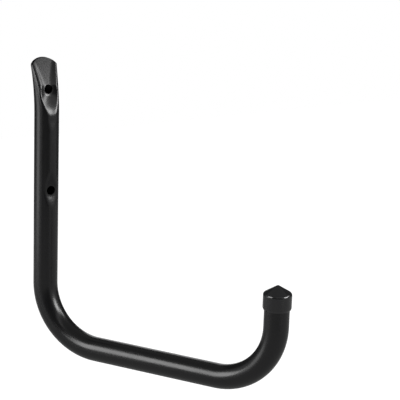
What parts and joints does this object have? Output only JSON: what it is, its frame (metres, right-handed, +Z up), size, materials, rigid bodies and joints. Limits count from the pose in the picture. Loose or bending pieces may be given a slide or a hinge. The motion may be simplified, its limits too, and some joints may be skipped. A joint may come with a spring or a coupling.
{
  "type": "bicycle storage hook",
  "caption": "Wall hook for storing a bicycle: bent round steel tube, pressed flat at its screwed end, dented round its screw holes, with a soft cap on the upturned tip.",
  "frame": {"origin": "on the wall plane that the tube's back touches, halfway between the two screw holes", "axes": "+Z up the wall, -Y square out of the wall along the screws, +X along the wall to the side that the arm is swung to"},
  "size_m": [0.1283, 0.204, 0.2464],
  "materials": {
    "powder_coated_tube": "satin black powder coat on steel",
    "vinyl_cap": "satin black dip-moulded vinyl"
  },
  "bodies": {
    "root": {"hook_tube": "powder_coated_tube", "end_cap": "vinyl_cap"}
  },
  "joints": []
}
